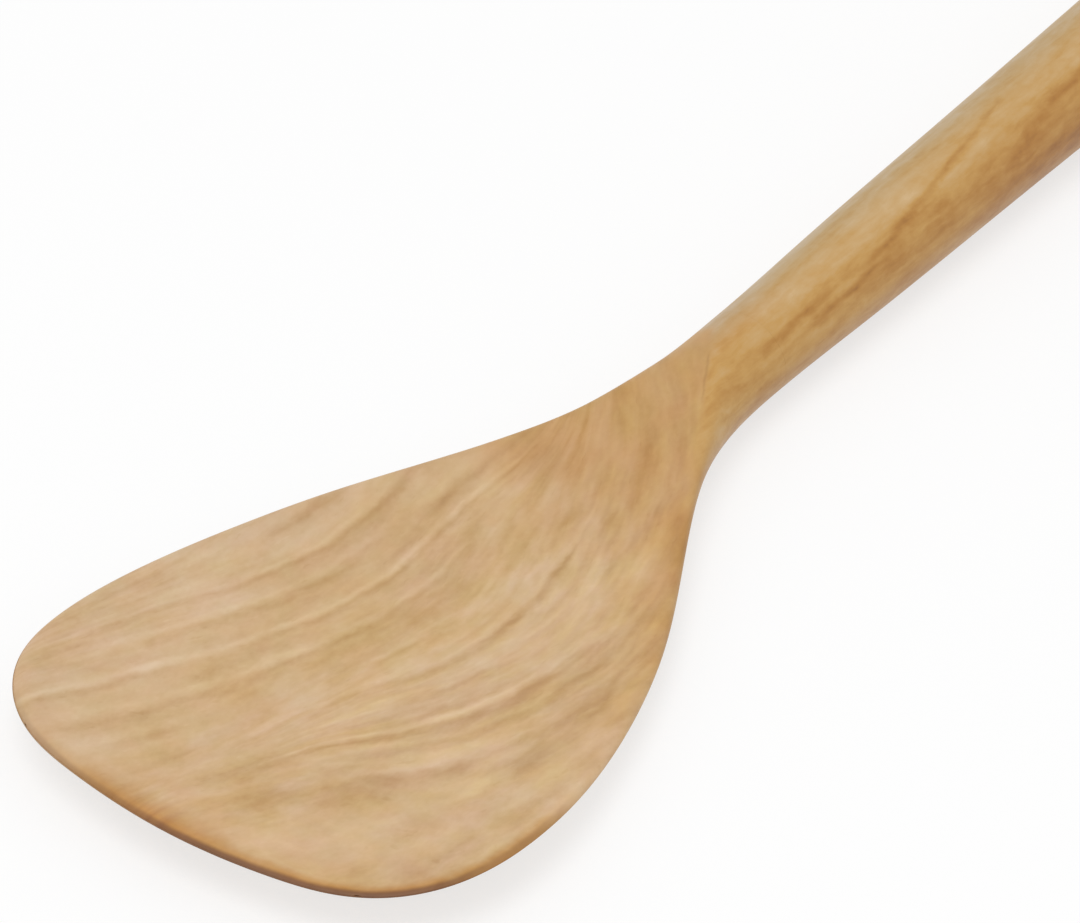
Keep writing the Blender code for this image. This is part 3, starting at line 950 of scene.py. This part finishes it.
def makeBladeWood():
    form = scoopEndFinish
    bench = NodeBench(bpy.data.materials.new("oiledBladeWood"))
    x, y, z = placeInMillimetres(bench)
    spots = {"x": x, "y": y, "z": z}
    blade, bladeRelief = bladeFigure(bench, x, y, z)
    neck, neckRelief = handleFigure(bench, x, y, z)
    neckShare = bench.mark("neckShare")
    wood = bench.mix(neckShare, blade, neck)
    # painted highlight along the scoop's near edge, where the scoop's wood meets the neck's
    edgeHighlight = bench.bell(bench.scaled(neckShare, 1 / form["edgeHighlightShare"], -1.0))
    wood = bench.tint(bench.product(edgeHighlight, bench.inside(spots, form["edgeHighlight"])), wood, form["edgeHighlightTint"])
    along = bench.scaled(y, -bladeForm["borderSlant"], x)
    along = bench.total(along, bench.pattern(x, y, z, *form["lineShake"]))
    apart = bench.calc("SUBTRACT", along, bladeForm["borderPlace"] * 1000)
    line = bench.bell(bench.product(apart, 1 / form["lineWidth"]))
    wood = bench.tint(bench.product(line, bench.inside(spots, form["line"])), wood, form["lineTint"])
    relief = bench.calc("ADD", bench.product(bladeRelief, bench.calc("SUBTRACT", 1.0, neckShare)),
                        bench.product(neckRelief, neckShare))
    roughness = bench.fade(neckShare, 0, 1, bladeFinish["roughness"], handleFinish["roughness"])
    return finishWood(bench, wood, relief, roughness)


def makeHandleWood():
    bench = NodeBench(bpy.data.materials.new("oiledHandleWood"))
    wood, relief = handleFigure(bench, *placeInMillimetres(bench))
    return finishWood(bench, wood, relief, handleFinish["roughness"])


# The hidden pin: plain and pale, its pores running along it

pinFinish = {
    "tones": ((0.2, (176, 138, 92)), (0.8, (220, 190, 150))),
    "roughness": 0.62,
    "pores": ((6, 0.4, 0.4), 0.16, 2, 0.6),
    "bands": ((40, 1.8, 1.8), 0.16, 2),
}


def makePinWood():
    bench = NodeBench(bpy.data.materials.new("barePinWood"))
    place = placeInMillimetres(bench)
    pores = bench.pattern(*place, *pinFinish["pores"])
    bands = bench.pattern(*place, *pinFinish["bands"])
    wood = bench.ramp(bench.total(pores, bands, 0.5), pinFinish["tones"])
    return finishWood(bench, wood, pores, pinFinish["roughness"])


blade.data.materials.append(makeBladeWood())
handle.data.materials.append(makeHandleWood())
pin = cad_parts["neck_dowel"]
pin.data.materials.clear()
pin.data.materials.append(makePinWood())
print("wood finished")


# Studio: floor, sky, lamp and camera

studio = {
    "floorColour": 0.97,
    "floorWhiteShare": 0.70,   # of what the camera sees of the floor; the rest takes the shadow
    "floorSize": 8,
    "floorDrop": 0.0002,       # so that the floor and the sole don't fight
    "skyStrength": 0.70,
    "keySize": 1.4,
    "keyPower": 15.0,
    "keySpot": (-0.7, -0.1, 2.0),
    "keyTarget": (-0.05, 0, 0),
}


def seenDirectly(bench):
    # 1 for the camera's own rays and for mirror and glass rays, 0 for the light that falls on things
    path = bench.add("ShaderNodeLightPath")
    seen = bench.calc("ADD", path.outputs["Is Camera Ray"], path.outputs["Is Glossy Ray"])
    return bench.calc("ADD", seen, path.outputs["Is Transmission Ray"], clamp=True)


def mixSurfaces(bench, share, lit, seen, outputName):
    both = bench.add("ShaderNodeMixShader")
    for socket, value in zip(both.inputs, (share, lit, seen)):
        bench.wire(socket, value)
    bench.wire(bench.tree.nodes[outputName].inputs["Surface"], both.outputs[0])


def makeFloor():
    bpy.ops.mesh.primitive_plane_add(size=studio["floorSize"], location=(0, 0, -studio["floorDrop"]))
    floor = bpy.context.object
    floor.name = "studioFloor"
    bench = NodeBench(bpy.data.materials.new("palePaper"))
    bench.shader.inputs["Base Color"].default_value = (studio["floorColour"],) * 3 + (1,)
    bench.shader.inputs["Roughness"].default_value = 1.0
    bench.shader.inputs["Specular IOR Level"].default_value = 0.0
    white = bench.add("ShaderNodeEmission")
    share = bench.product(seenDirectly(bench), studio["floorWhiteShare"])
    mixSurfaces(bench, share, bench.shader.outputs[0], white.outputs[0], "Material Output")
    floor.data.materials.append(bench.owner)


def makeSky():
    bench = NodeBench(bpy.data.worlds.new("studioSky"))
    lit = bench.tree.nodes["Background"]
    seen = bench.add("ShaderNodeBackground")
    for background in (lit, seen):
        background.inputs["Color"].default_value = (1, 1, 1, 1)
    lit.inputs["Strength"].default_value = studio["skyStrength"]
    mixSurfaces(bench, seenDirectly(bench), lit.outputs[0], seen.outputs[0], "World Output")
    bpy.context.scene.world = bench.owner


def makeKeyPanel():
    data = bpy.data.lights.new("keyPanel", "AREA")
    data.shape = "DISK"
    data.size = studio["keySize"]
    data.energy = studio["keyPower"]
    panel = bpy.data.objects.new("keyPanel", data)
    bpy.context.scene.collection.objects.link(panel)
    panel.location = studio["keySpot"]
    look = Vector(studio["keyTarget"]) - Vector(studio["keySpot"])
    panel.rotation_euler = look.to_track_quat("-Z", "Y").to_euler()


cameraStand = {
    "azimuth": -52.73,
    "elevation": 37.31,
    "roll": -0.39,
    "distance": 1.1704,
    "lookAt": (-0.06325, 0.0107, 0.008),
    "lens": 233.3,
    "sensor": 36,
    "clip": (0.05, 20),
}


def makeCamera():
    azimuth = math.radians(cameraStand["azimuth"])
    elevation = math.radians(cameraStand["elevation"])
    roll = math.radians(cameraStand["roll"])
    ahead = Vector((-math.sin(azimuth) * math.cos(elevation),
                    math.cos(azimuth) * math.cos(elevation), -math.sin(elevation)))
    level = Vector((math.cos(azimuth), math.sin(azimuth), 0))
    upright = level.cross(ahead)
    right = level * math.cos(roll) + upright * math.sin(roll)
    up = upright * math.cos(roll) - level * math.sin(roll)
    data = bpy.data.cameras.new("studioCamera")
    data.lens = cameraStand["lens"]
    data.sensor_width = cameraStand["sensor"]
    data.clip_start, data.clip_end = cameraStand["clip"]
    camera = bpy.data.objects.new("studioCamera", data)
    bpy.context.scene.collection.objects.link(camera)
    place = Vector(cameraStand["lookAt"]) - ahead * cameraStand["distance"]
    camera.matrix_world = Matrix.Translation(place) @ Matrix((right, up, -ahead)).transposed().to_4x4()
    bpy.context.scene.camera = camera


makeFloor()
makeSky()
makeKeyPanel()
makeCamera()
bpy.context.scene.view_settings.view_transform = "Standard"
print("studio set")
